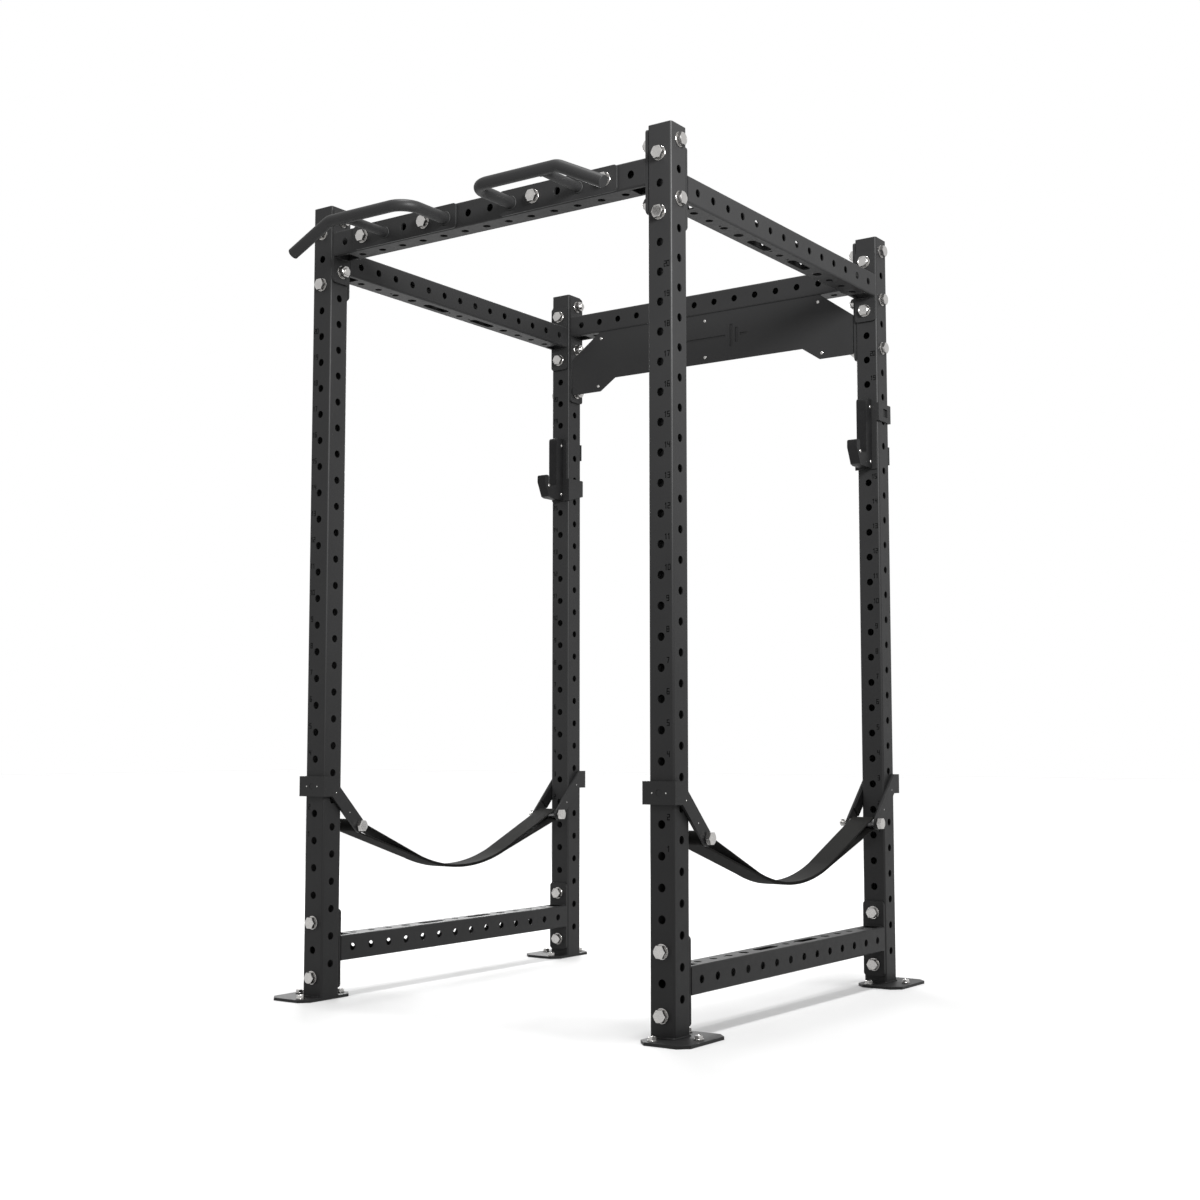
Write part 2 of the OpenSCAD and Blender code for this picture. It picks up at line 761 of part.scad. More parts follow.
placed() end_caps();
placed() anchor_bolts();
placed() anchor_washers();
placed() front_beam();
placed() rear_beam();
placed() header_plate();
placed() header_screws();
placed() frame_bolts();
placed() frame_washers();
placed() frame_nuts();
placed() grip_bolts();
placed() grip_washers();
placed() grip_nuts();
for (c = corners) {
    placed() upright(c[1], c[2]);
    placed() foot(c[1], c[2]);
    at_bracket(c) color(steel) strap_bracket_shape();
    at_bracket(c) color(plastic) strap_pad_shape();
    at_bracket(c) color(zinc) strap_screws_shape();
    at_bracket(c) color(zinc) strap_sleeve_shape();
    at_bracket(c) color(zinc) strap_bolt_shape();
}
for (s = sides) {
    placed() side_beam(s[1], side_top_z);
    placed() side_beam(s[1], side_low_z);
    placed() grip(s[1]);
    at_hook(s[1]) color(steel) hook_plate_shape();
    at_hook(s[1]) color(plastic) hook_liner_shape();
    at_hook(s[1]) color(zinc) hook_pin_shape();
    at_hook(s[1]) color(zinc) hook_screws_shape();
    placed() strap(s[1]);
}
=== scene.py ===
"""Looks of a power cage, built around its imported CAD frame. All lengths are in metres."""
import json
import math
import random

import bmesh
import bpy
from mathutils import Matrix, Vector
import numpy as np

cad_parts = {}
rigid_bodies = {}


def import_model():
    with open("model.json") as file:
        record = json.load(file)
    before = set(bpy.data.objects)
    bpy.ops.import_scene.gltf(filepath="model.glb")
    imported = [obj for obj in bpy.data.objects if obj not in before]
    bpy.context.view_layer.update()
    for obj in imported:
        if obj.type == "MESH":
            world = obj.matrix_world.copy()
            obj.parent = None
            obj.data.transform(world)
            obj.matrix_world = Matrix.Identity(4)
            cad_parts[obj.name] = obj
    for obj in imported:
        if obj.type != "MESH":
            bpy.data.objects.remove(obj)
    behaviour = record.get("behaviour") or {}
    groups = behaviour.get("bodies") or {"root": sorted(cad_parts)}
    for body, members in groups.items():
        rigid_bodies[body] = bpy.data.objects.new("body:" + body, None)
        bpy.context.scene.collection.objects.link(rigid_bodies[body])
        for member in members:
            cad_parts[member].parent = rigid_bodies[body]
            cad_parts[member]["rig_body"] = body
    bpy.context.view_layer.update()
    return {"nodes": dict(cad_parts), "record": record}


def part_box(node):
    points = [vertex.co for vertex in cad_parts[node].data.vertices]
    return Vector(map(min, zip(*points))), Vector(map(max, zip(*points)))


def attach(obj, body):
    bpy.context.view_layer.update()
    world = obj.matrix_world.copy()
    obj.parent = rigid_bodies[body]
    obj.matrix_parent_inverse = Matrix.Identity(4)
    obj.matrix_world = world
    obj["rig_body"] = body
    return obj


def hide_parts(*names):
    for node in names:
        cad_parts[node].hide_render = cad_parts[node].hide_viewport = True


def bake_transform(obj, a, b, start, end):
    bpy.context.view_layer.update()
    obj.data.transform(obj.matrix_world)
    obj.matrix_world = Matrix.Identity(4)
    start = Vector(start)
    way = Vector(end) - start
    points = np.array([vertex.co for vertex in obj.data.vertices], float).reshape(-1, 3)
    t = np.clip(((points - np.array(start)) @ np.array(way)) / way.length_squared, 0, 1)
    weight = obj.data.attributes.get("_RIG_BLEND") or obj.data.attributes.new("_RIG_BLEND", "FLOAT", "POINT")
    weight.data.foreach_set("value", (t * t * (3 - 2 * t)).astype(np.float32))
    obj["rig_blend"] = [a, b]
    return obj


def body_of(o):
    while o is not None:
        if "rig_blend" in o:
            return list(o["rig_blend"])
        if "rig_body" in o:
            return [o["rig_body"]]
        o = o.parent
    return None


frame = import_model()
random.seed(7)
MM = 0.001

# ---------------------------------------------------------------- camera

CAMERA_PLACE = (2.757, -3.9425, 0.699)
CAMERA_YAW = math.radians(34.87)
CAMERA_PITCH = math.radians(4.97)
CAMERA_LENS = 50.16


def add_camera():
    data = bpy.data.cameras.new("camera")
    data.lens = CAMERA_LENS
    data.sensor_width = 36
    data.clip_end = 60
    camera = bpy.data.objects.new("camera", data)
    bpy.context.scene.collection.objects.link(camera)
    camera.location = CAMERA_PLACE
    camera.rotation_euler = (math.radians(90) + CAMERA_PITCH, 0, CAMERA_YAW)
    bpy.context.scene.camera = camera


# ---------------------------------------------------------------- node helpers


class Nodes:
    """A material's node tree with short calls for the nodes used here."""

    def __init__(self, name):
        self.material = bpy.data.materials.new(name)
        self.material.use_nodes = True
        self.tree = self.material.node_tree
        self.shader = self.tree.nodes["Principled BSDF"]

    def add(self, kind, **settings):
        node = self.tree.nodes.new(kind)
        for name, value in settings.items():
            setattr(node, name, value)
        return node

    def link(self, source, target):
        self.tree.links.new(source, target)

    def place(self):
        return self.add("ShaderNodeTexCoord").outputs["Object"]

    def noise(self, scale, detail=3.0, vector=None, stretch=None):
        node = self.add("ShaderNodeTexNoise")
        node.inputs["Scale"].default_value = scale
        node.inputs["Detail"].default_value = detail
        source = vector or self.place()
        if stretch:
            mapping = self.add("ShaderNodeMapping")
            mapping.inputs["Scale"].default_value = stretch
            self.link(source, mapping.inputs["Vector"])
            source = mapping.outputs["Vector"]
        self.link(source, node.inputs["Vector"])
        return node.outputs["Fac"]

    def map(self, value, low, high, to_low, to_high):
        node = self.add("ShaderNodeMapRange")
        for name, number in (("From Min", low), ("From Max", high), ("To Min", to_low), ("To Max", to_high)):
            node.inputs[name].default_value = number
        self.link(value, node.inputs["Value"])
        return node.outputs["Result"]

    def math(self, operation, a, b=None):
        node = self.add("ShaderNodeMath", operation=operation)
        for socket, value in zip(node.inputs, (a, b)):
            if isinstance(value, (int, float)):
                socket.default_value = value
            elif value is not None:
                self.link(value, socket)
        return node.outputs[0]

    def mix(self, factor, a, b):
        node = self.add("ShaderNodeMix", data_type="RGBA")
        self.link(factor, node.inputs["Factor"])
        for name, value in (("A", a), ("B", b)):
            socket = [s for s in node.inputs if s.name == name and s.type == "RGBA"][0]
            if isinstance(value, tuple):
                socket.default_value = (*value, 1)
            else:
                self.link(value, socket)
        return [s for s in node.outputs if s.type == "RGBA"][0]

    def bump(self, height, strength, distance, normal=None):
        node = self.add("ShaderNodeBump")
        node.inputs["Strength"].default_value = strength
        node.inputs["Distance"].default_value = distance
        self.link(height, node.inputs["Height"])
        if normal:
            self.link(normal, node.inputs["Normal"])
        return node.outputs["Normal"]

    def attribute(self, name):
        return self.add("ShaderNodeAttribute", attribute_name=name).outputs["Fac"]

    def set(self, name, value):
        socket = self.shader.inputs[name]
        if isinstance(value, (int, float)):
            socket.default_value = value
        elif isinstance(value, tuple):
            socket.default_value = (*value, 1)
        else:
            self.link(value, socket)


# ---------------------------------------------------------------- materials


def powder_coat():
    """Matt black powder coat: pebbled skin, faint clouding, dust, and broken edges painted lighter for worn paint
    and a painted edge highlight.
    """
    n = Nodes("powder_coat")
    cloud = n.map(n.noise(7, 4), 0.3, 0.7, 0, 1)
    colour = n.mix(cloud, (0.0108, 0.0108, 0.0110), (0.0124, 0.0124, 0.0126))
    specks = n.map(n.noise(1500, 1), 0.72, 0.80, 0, 0.3)
    colour = n.mix(specks, colour, (0.034, 0.034, 0.035))
    # Broken edges are painted lighter in patches: partly worn paint, partly a painted edge highlight.
    rubbed_and_highlit = n.math("MULTIPLY", n.attribute("wear_and_highlight"), n.map(n.noise(45, 5), 0.50, 0.72, 0, 0.55))
    n.set("Base Color", n.mix(rubbed_and_highlit, colour, (0.060, 0.059, 0.057)))
    skin = n.map(n.noise(55, 3), 0.3, 0.7, 0.46, 0.51)
    n.set("Roughness", n.math("SUBTRACT", skin, n.math("MULTIPLY", rubbed_and_highlit, 0.2)))
    peel = n.bump(n.noise(160, 2), 0.04, 0.0004)
    n.set("Normal", n.bump(n.noise(950, 2), 0.20, 0.0002, peel))
    n.set("Specular IOR Level", 0.17)
    return n.material


def number_ink():
    """Dark printed ink for the hole numbers, slightly glossier than the coat."""
    n = Nodes("number_ink")
    shade = n.map(n.noise(400, 3), 0.35, 0.65, 0, 1)
    n.set("Base Color", n.mix(shade, (0.0012, 0.0012, 0.0012), (0.0024, 0.0024, 0.0024)))
    n.set("Roughness", n.map(n.noise(300, 2), 0.3, 0.7, 0.42, 0.55))
    n.set("Normal", n.bump(n.noise(1300, 2), 0.2, 0.0001))
    n.set("Specular IOR Level", 0.03)
    return n.material


def zinc():
    """Bright zinc plating: a faint blue to straw tint, fine grain and handling marks."""
    n = Nodes("zinc")
    tint = n.map(n.noise(60, 3), 0.3, 0.7, 0, 1)
    colour = n.mix(tint, (0.43, 0.422, 0.415), (0.48, 0.47, 0.455))
    stain = n.map(n.noise(150, 5), 0.62, 0.80, 0, 0.5)
    n.set("Base Color", n.mix(stain, colour, (0.30, 0.30, 0.295)))
    n.set("Metallic", 1.0)
    marks = n.noise(300, 4, stretch=(1, 1, 4))
    n.set("Roughness", n.map(marks, 0.25, 0.75, 0.17, 0.30))
    n.set("Normal", n.bump(n.noise(1500, 2), 0.08, 0.0001, n.bump(marks, 0.05, 0.0001)))
    return n.material


def liner_plastic():
    """Black polyethylene: faint milling marks, scuffs and a waxy skin."""
    n = Nodes("liner_plastic")
    marks = n.noise(120, 2, stretch=(1, 1, 12))
    colour = n.mix(n.map(n.noise(22, 3), 0.3, 0.7, 0, 1), (0.0042, 0.0042, 0.0044), (0.0070, 0.0070, 0.0072))
    scuffs = n.map(n.noise(90, 6, stretch=(1, 6, 1)), 0.62, 0.75, 0, 0.4)
    n.set("Base Color", n.mix(scuffs, colour, (0.015, 0.015, 0.0155)))
    n.set("Roughness", n.map(marks, 0.3, 0.7, 0.38, 0.52))
    n.set("Normal", n.bump(marks, 0.18, 0.0003, n.bump(n.noise(800, 2), 0.12, 0.0002)))
    n.set("Specular IOR Level", 0.12)
    return n.material


def cap_plastic():
    """Black moulded plastic with a spark-eroded grain."""
    n = Nodes("cap_plastic")
    n.set("Base Color", n.mix(n.map(n.noise(35, 3), 0.3, 0.7, 0, 1), (0.012, 0.012, 0.0125), (0.017, 0.017, 0.017)))
    n.set("Roughness", n.map(n.noise(300, 2), 0.3, 0.7, 0.5, 0.62))
    n.set("Normal", n.bump(n.noise(1800, 1), 0.35, 0.0002))
    n.set("Specular IOR Level", 0.32)
    return n.material


def turned_tube():
    """Plain grey tube with turning marks round it."""
    n = Nodes("turned_tube")
    marks = n.noise(30, 2, stretch=(60, 1, 1))
    n.set("Base Color", n.mix(n.map(marks, 0.3, 0.7, 0, 1), (0.42, 0.42, 0.43), (0.58, 0.58, 0.58)))
    n.set("Metallic", 1.0)
    n.set("Roughness", n.map(n.noise(200, 3), 0.3, 0.7, 0.30, 0.45))
    n.set("Normal", n.bump(marks, 0.25, 0.0002))
    return n.material


def webbing():
    """Dark polyester webbing: herringbone yarns along the UV map, fuzz and faint fading."""
    n = Nodes("webbing")
    uv = n.add("ShaderNodeUVMap", uv_map="weave").outputs["UV"]
    split = n.add("ShaderNodeSeparateXYZ")
    n.link(uv, split.inputs[0])
    along, across = split.outputs["X"], split.outputs["Y"]
    zigzag = n.math("PINGPONG", across, 0.0055)
    warp = n.math("ABSOLUTE", n.math("SINE", n.math("MULTIPLY", across, math.pi / 0.00092)))
    slant = n.math("ADD", along, n.math("MULTIPLY", zigzag, 0.8))
    weft = n.math("ABSOLUTE", n.math("SINE", n.math("MULTIPLY", slant, math.pi / 0.0021)))
    weave = n.math("ADD", n.math("MULTIPLY", warp, 0.4), n.math("MULTIPLY", weft, 0.6))
    fibre = n.noise(2200, 3)
    base = n.mix(n.map(n.noise(16, 4), 0.3, 0.7, 0, 1), (0.0115, 0.0112, 0.0103), (0.0155, 0.0150, 0.0138))
    # The colour is darker where the weave is low, in the grooves between the yarns: painted shade.
    dark = n.mix(n.map(weave, 0.15, 0.75, 0, 1), (0.0046, 0.0045, 0.0041), base)
    n.set("Base Color", n.mix(n.map(fibre, 0.55, 0.8, 0, 0.5), dark, (0.027, 0.0262, 0.0246)))
    n.set("Roughness", n.map(fibre, 0.3, 0.7, 0.72, 0.92))
    n.set("Normal", n.bump(weave, 0.55, 0.0005, n.bump(fibre, 0.25, 0.0002)))
    n.set("Sheen Weight", 0.02)
    n.set("Sheen Roughness", 0.5)
    n.set("Specular IOR Level", 0.05)
    return n.material


MATERIALS = {
    "powder_coat": powder_coat(), "zinc": zinc(), "liner": liner_plastic(), "cap": cap_plastic(),
    "sleeve": turned_tube(), "webbing": webbing()}
NUMBER_INK = number_ink()
SLOT_OF = {part["node"]: part["material_slot"] for part in frame["record"]["subparts"]}
CORNERS = ("fl", "fr", "rl", "rr")
SIDES = ("l", "r")
BEAMS = ("front_beam", "rear_beam", "side_beam_top_l", "side_beam_top_r", "side_beam_low_l", "side_beam_low_r")
BEAM_Z = (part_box("front_beam")[0][2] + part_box("front_beam")[1][2]) / 2
NUMBER_TEN = next(m for m in frame["record"]["mounts"] if m["name"] == "y_holes_fl")["pos_m"][2] - 37.5 * MM
HOLE_PITCH = 75 * MM
ROW_ONE = NUMBER_TEN - 9 * HOLE_PITCH
END_PLATE_T = 8 * MM
HOLE_R = 10.5 * MM
BOLT_AF, BOLT_HEAD, BOLT_D, BOLT_THREAD = 30 * MM, 12.5 * MM, 20 * MM, 26 * MM
ANCHOR_AF, ANCHOR_HEAD, ANCHOR_D, ANCHOR_THREAD = 19 * MM, 7.5 * MM, 12 * MM, 4 * MM
WASHER_D, WASHER_HOLE = 37 * MM, 21 * MM
ANCHOR_WASHER_D, ANCHOR_WASHER_HOLE = 24 * MM, 13 * MM
BUTTON_D, BUTTON_H, BUTTON_SHANK = 10 * MM, 2 * MM, 5.8 * MM
# Widths of the broken edges of refined CAD solids
STEEL_EDGE, PLASTIC_EDGE, SMALL_EDGE = 0.7 * MM, 0.8 * MM, 0.6 * MM
SLEEVE_EDGE, SCREW_EDGE, LINER_OUTLINE = 0.5 * MM, 0.2 * MM, 2.6 * MM
# Edges of zinc pieces that turn by more degrees than this stay sharp
BOLT_CREASE, BUTTON_CREASE = 22, 35
SHARP_ANGLE = math.radians(28)
WELD_R, BRACE_WELD_R, FOOT_WELD_R = 2.8 * MM, 2.4 * MM, 3.2 * MM


# ---------------------------------------------------------------- mesh helpers


def as_piece(bm, name, material, body, replaced=(), weighted=True, crease=None):
    """Turns a bmesh into a smooth shaded piece that rides on a body and stands for CAD nodes.
    Edges that turn by more than crease degrees stay sharp.
    """
    bmesh.ops.recalc_face_normals(bm, faces=bm.faces)
    if crease:
        for edge in bm.edges:
            edge.smooth = edge.calc_face_angle(0) < math.radians(crease)
    mesh = bpy.data.meshes.new(name)
    for face in bm.faces:
        face.smooth = True
    bm.to_mesh(mesh)
    bm.free()
    mesh.materials.append(material)
    piece = bpy.data.objects.new(name, mesh)
    bpy.context.scene.collection.objects.link(piece)
    if weighted:
        even = piece.modifiers.new("even_normals", "WEIGHTED_NORMAL")
        even.weight = 80
        even.keep_sharp = bool(crease)
    if body:
        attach(piece, body)
    if replaced:
        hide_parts(*replaced)
    return piece


def loft(bm, rings, closed=False, caps=True):
    """Skins a row of rings that have the same number of points; returns its faces."""
    rows = [[bm.verts.new(point) for point in ring] for ring in rings]
    faces = []
    pairs = list(zip(rows, rows[1:]))
    if closed:
        pairs.append((rows[-1], rows[0]))
    for a, b in pairs:
        count = len(a)
        for i in range(count):
            j = (i + 1) % count
            faces.append(bm.faces.new((a[i], a[j], b[j], b[i])))
    if caps and not closed:
        faces.append(bm.faces.new(rows[0][::-1]))
        faces.append(bm.faces.new(rows[-1]))
    return faces


def place_along(start, direction):
    """Matrix that takes +Z to the direction and the origin to the start."""
    turn = Vector(direction).to_track_quat("Z", "Y").to_matrix().to_4x4()
    return Matrix.Translation(Vector(start)) @ turn


def circle(r, z, count):
    return [Vector((r * math.cos(a), r * math.sin(a), z)) for a in
            (2 * math.pi * i / count for i in range(count))]


def hexagon(af, count):
    """Distance of a hexagon's outline from its centre, at count even angles."""
    out = []
    for i in range(count):
        a = (2 * math.pi * i / count) % (math.pi / 3) - math.pi / 6
        out.append(af / 2 / math.cos(a))
    return out


def hex_rings(af, low, high, chamfer_low, count=48):
    """Rings up the outside of a hexagon whose corners are turned off at 30 degrees."""
    radii = hexagon(af, count)
    face_r = af * 0.475
    slope = math.tan(math.radians(30))

    def ring(z_of):
        return [Vector((r * math.cos(a), r * math.sin(a), z_of(r))) for r, a in
                ((radii[i], 2 * math.pi * i / count) for i in range(count))]

    rings = []
    if chamfer_low:
        rings += [circle(face_r, low, count), ring(lambda r: low + (r - face_r) * slope)]
    else:
        rings += [circle(face_r, low, count), circle(face_r, low + 0.4 * MM, count), ring(lambda r: low + 0.4 * MM)]
    rings += [ring(lambda r: high - (r - face_r) * slope), circle(face_r, high, count)]
    return rings


def thread_rings(d, top, bottom, pitch=2.5 * MM, count=32):
    """Rings down a screw thread from top to bottom, with a turned end at the bottom."""
    depth = 0.55 * pitch
    steps = max(4, int((top - bottom) / (pitch / 6)))
    rings = []
    for k in range(steps + 1):
        z = top + (bottom - top) * k / steps
        end = min(1.0, (z - bottom) / (1.2 * MM))
        ring = []
        for i in range(count):
            turn = (z / pitch + i / count) % 1
            r = d / 2 - depth * abs(2 * turn - 1)
            r = min(r, d / 2 - depth * (1 - end))
            ring.append(Vector((r * math.cos(2 * math.pi * i / count), r * math.sin(2 * math.pi * i / count), z)))
        rings.append(ring)
    return rings


def add_bolt(bm, at, af, head, d, length, threaded):
    """Hexagon bolt: the underside of its head at the origin of at, its shank along -Z."""
    count = 48
    rings = hex_rings(af, 0, head, False, count)
    rings += [circle(af * 0.43, head, count), circle(af * 0.41, head - 0.35 * MM, count)]
    new = loft(bm, rings)
    shank = [circle(d / 2, 0.5 * MM, 32), circle(d / 2, -length + threaded, 32)]
    new += loft(bm, shank + thread_rings(d, -length + threaded, -length))
    verts = list({v for f in new for v in f.verts})
    bmesh.ops.transform(bm, matrix=at, verts=verts)


def add_washer(bm, at, outer, inner, t, count=48):
    b = 0.4 * MM
    profile = [(inner / 2, b), (inner / 2 + b, 0), (outer / 2 - b, 0), (outer / 2, b), (outer / 2, t - b),
               (outer / 2 - b, t), (inner / 2 + b, t), (inner / 2, t - b)]
    new = loft(bm, [circle(r, z, count) for r, z in profile], closed=True)
    bmesh.ops.transform(bm, matrix=at, verts=list({v for f in new for v in f.verts}))


def add_nut(bm, at, af, h, d, count=48):
    rings = hex_rings(af, 0, h, True, count)
    rings += [circle(d / 2 + 1.2 * MM, h, count), circle(d / 2 - 0.6 * MM, h - 1.8 * MM, count),
              circle(d / 2 - 0.6 * MM, 1.8 * MM, count), circle(d / 2 + 1.2 * MM, 0, count)]
    new = loft(bm, rings, closed=True)
    bmesh.ops.transform(bm, matrix=at, verts=list({v for f in new for v in f.verts}))


def add_button(bm, at, d, h, shank_d, shank_l, key):
    """Low round head with a hexagon socket: its underside at the origin, its shank along -Z."""
    count = 36
    dome = [circle(d / 2, 0, count), circle(d / 2, 0.25 * h, count), circle(0.44 * d, 0.7 * h, count),
            circle(0.34 * d, h, count)]
    radii = hexagon(key, count)
    socket = [[Vector((r * math.cos(2 * math.pi * i / count), r * math.sin(2 * math.pi * i / count), z))
               for i, r in enumerate(radii)] for z in (h, 0.3 * h)]
    new = loft(bm, dome + socket)
    new += loft(bm, [circle(shank_d / 2, 0.1 * h, 20), circle(shank_d / 2, -shank_l, 20)])
    bmesh.ops.transform(bm, matrix=at, verts=list({v for f in new for v in f.verts}))


def islands(node):
    """The lowest and highest corners and the points of each separate solid in a CAD node."""
    bm = bmesh.new()
    bm.from_mesh(frame["nodes"][node].data)
    bmesh.ops.remove_doubles(bm, verts=bm.verts, dist=1e-6)
    seen, found = set(), []
    for first in bm.verts:
        if first in seen:
            continue
        stack, group = [first], []
        seen.add(first)
        while stack:
            vert = stack.pop()
            group.append(vert.co.copy())
            for edge in vert.link_edges:
                other = edge.other_vert(vert)
                if other not in seen:
                    seen.add(other)
                    stack.append(other)
        low = Vector([min(p[k] for p in group) for k in range(3)])
        high = Vector([max(p[k] for p in group) for k in range(3)])
        found.append((low, high, group))
    bm.free()
    return found


def refine(node, bevel, outline=None):
    """Copies a CAD solid and breaks all its sharp edges; the broken edges carry the mark for worn paint and a
    painted edge highlight.
    outline is a wider break for the long edges on the solid's left and right faces.
    """
    bm = bmesh.new()
    bm.from_mesh(frame["nodes"][node].data)
    bmesh.ops.remove_doubles(bm, verts=bm.verts, dist=0.00008)
    bmesh.ops.dissolve_degenerate(bm, edges=bm.edges, dist=0.00005)
    bmesh.ops.dissolve_limit(bm, angle_limit=math.radians(0.4), verts=bm.verts, edges=bm.edges)
    mark = bm.faces.layers.float.new("wear_and_highlight")
    low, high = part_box(node)
    passes = [(bevel, 2, 0)]
    if outline:
        passes.insert(0, (outline, 4, 0.9 * MM))
    for offset, segments, shortest in passes:
        sharp = [e for e in bm.edges if len(e.link_faces) == 2 and e.calc_face_angle(0) > SHARP_ANGLE]
        if shortest:
            sharp = [e for e in sharp if e.calc_length() > shortest
                     and any(all(abs(v.co[0] - x) < 0.1 * MM for v in e.verts) for x in (low[0], high[0]))]
        made = bmesh.ops.bevel(bm, geom=sharp, offset=offset, offset_type="OFFSET", segments=segments, profile=0.5,
                               affect="EDGES", clamp_overlap=True)
        for face in made["faces"]:
            face[mark] = 1.0
    bmesh.ops.triangulate(bm, faces=[f for f in bm.faces if len(f.verts) > 4])
    body = body_of(frame["nodes"][node])[0]
    return as_piece(bm, node + "_fine", MATERIALS[SLOT_OF[node]], body, [node])


# ---------------------------------------------------------------- fasteners


def screw_axis(low, high, points, axis=None):
    """Axis of a fastener, by default its longest side, and +1 or -1 for the end that its head is on."""
    size = high - low
    if axis is None:
        axis = max(range(3), key=lambda k: size[k])
    middle = (low + high) / 2
    others = [k for k in range(3) if k != axis]
    far = [max(abs(p[k] - middle[k]) for k in others) for p in points]
    wide = [p for p, r in zip(points, far) if r > 0.9 * max(far)]
    side = 1 if sum(p[axis] for p in wide) / len(wide) > middle[axis] else -1
    return axis, side


def unit(axis, side=1):
    v = [0, 0, 0]
    v[axis] = side
    return Vector(v)


def bolt_at(bm, low, high, points, af, head, d, threaded, axis=None):
    axis, side = screw_axis(low, high, points, axis)
    direction = unit(axis, side)
    middle = (low + high) / 2
    top = middle + direction * (high - low)[axis] / 2
    at = place_along(top - direction * head, direction)
    add_bolt(bm, at, af, head, d, (high - low)[axis] - head, threaded)


def ring_at(bm, low, high, add, *sizes):
    """A washer or nut: its axis is the shortest side of its box."""
    size = high - low
    axis = min(range(3), key=lambda k: size[k])
    at = (low + high) / 2
    at[axis] = low[axis]
    add(bm, place_along(at, unit(axis)), *sizes)


def zinc_piece(bm, node, body, crease=BOLT_CREASE):
    as_piece(bm, node + "_fine", MATERIALS["zinc"], body, [node], crease=crease)


def frame_fasteners():
    for node, sizes, axis in (
            ("frame_bolts", (BOLT_AF, BOLT_HEAD, BOLT_D, BOLT_THREAD), None),
            ("grip_bolts", (BOLT_AF, BOLT_HEAD, BOLT_D, BOLT_THREAD), None),
            ("anchor_bolts", (ANCHOR_AF, ANCHOR_HEAD, ANCHOR_D, ANCHOR_THREAD), 2)):
        bm = bmesh.new()
        for low, high, points in islands(node):
            bolt_at(bm, low, high, points, *sizes, axis)
        zinc_piece(bm, node, "root")
    for node, outer, inner in (
            ("frame_washers", WASHER_D, WASHER_HOLE), ("grip_washers", WASHER_D, WASHER_HOLE),
            ("anchor_washers", ANCHOR_WASHER_D, ANCHOR_WASHER_HOLE)):
        bm = bmesh.new()
        for low, high, _ in islands(node):
            ring_at(bm, low, high, add_washer, outer, inner, min(high - low))
        zinc_piece(bm, node, "root")
    for node in ("frame_nuts", "grip_nuts"):
        bm = bmesh.new()
        for low, high, _ in islands(node):
            ring_at(bm, low, high, add_nut, BOLT_AF, min(high - low), BOLT_D)
        zinc_piece(bm, node, "root")


def strap_bolts():
    """Axle bolts with their washers and nuts, told apart by their lengths."""
    for corner in CORNERS:
        node = "strap_bolt_" + corner
        bm = bmesh.new()
        for low, high, points in islands(node):
            x = high[0] - low[0]
            if x > 60 * MM:
                bolt_at(bm, low, high, points, BOLT_AF, BOLT_HEAD, BOLT_D, BOLT_THREAD)
            elif x > 10 * MM:
                ring_at(bm, low, high, add_nut, BOLT_AF, x, BOLT_D)
            else:
                ring_at(bm, low, high, add_washer, WASHER_D, WASHER_HOLE, x)
        zinc_piece(bm, node, "bracket_" + corner)


def small_screws():
    """Button screws of the header plate and the hooks."""
    bm = bmesh.new()
    for low, high, points in islands("header_screws"):
        axis, side = screw_axis(low, high, points)
        out = unit(axis, side)
        length = (high - low)[axis]
        at = place_along((low + high) / 2 + out * length / 2 - out * BUTTON_H, out)
        add_button(bm, at, BUTTON_D, BUTTON_H, BUTTON_SHANK, length - BUTTON_H, 3.5 * MM)
    zinc_piece(bm, "header_screws", "root", BUTTON_CREASE)
    for side in SIDES:
        node = "hook_screws_" + side
        bm = bmesh.new()
        for low, high, _ in islands(node):
            middle = (low + high) / 2
            half = (high[0] - low[0]) / 2
            for s in (-1, 1):
                at = place_along(middle + unit(0, s) * (half - BUTTON_H), unit(0, s))
                add_button(bm, at, BUTTON_D, BUTTON_H, BUTTON_SHANK, half - BUTTON_H, 4 * MM)
        zinc_piece(bm, node, "hook_" + side, BUTTON_CREASE)


# ---------------------------------------------------------------- tubes of the grips


def sweep(bm, path, radius, count=32, rim=1.2 * MM):
    """Round bar along a path with broken edges at both ends."""
    directions = []
    for i in range(len(path)):
        a, b = path[max(0, i - 1)], path[min(len(path) - 1, i + 1)]
        directions.append((b - a).normalized())
    side = directions[0].orthogonal().normalized()
    rings = []

    def ring(at, direction, r):
        nonlocal side
        side = (side - direction * side.dot(direction)).normalized()
        other = direction.cross(side)
        return [at + r * (math.cos(a) * side + math.sin(a) * other) for a in
                (2 * math.pi * i / count for i in range(count))]

    rings.append(ring(path[0], directions[0], radius - rim))
    rings.append(ring(path[0] + directions[0] * rim * 0.3, directions[0], radius - rim * 0.3))
    rings.append(ring(path[0] + directions[0] * rim, directions[0], radius))
    for at, direction in zip(path[1:-1], directions[1:-1]):
        rings.append(ring(at, direction, radius))
    rings.append(ring(path[-1] - directions[-1] * rim, directions[-1], radius))
    rings.append(ring(path[-1] - directions[-1] * rim * 0.3, directions[-1], radius - rim * 0.3))
    rings.append(ring(path[-1], directions[-1], radius - rim))
    return loft(bm, rings)


def turn(path, at, before, after, r, steps=14):
    """Adds the corner at a point, rounded to radius r, between two directions."""
    angle = before.angle(after)
    reach = r * math.tan(angle / 2)
    start = at - before * reach
    inward = (after - before * after.dot(before)).normalized()
    centre = start + inward * r
    for i in range(steps + 1):
        a = angle * i / steps
        path.append(centre - inward * r * math.cos(a) + before * r * math.sin(a))


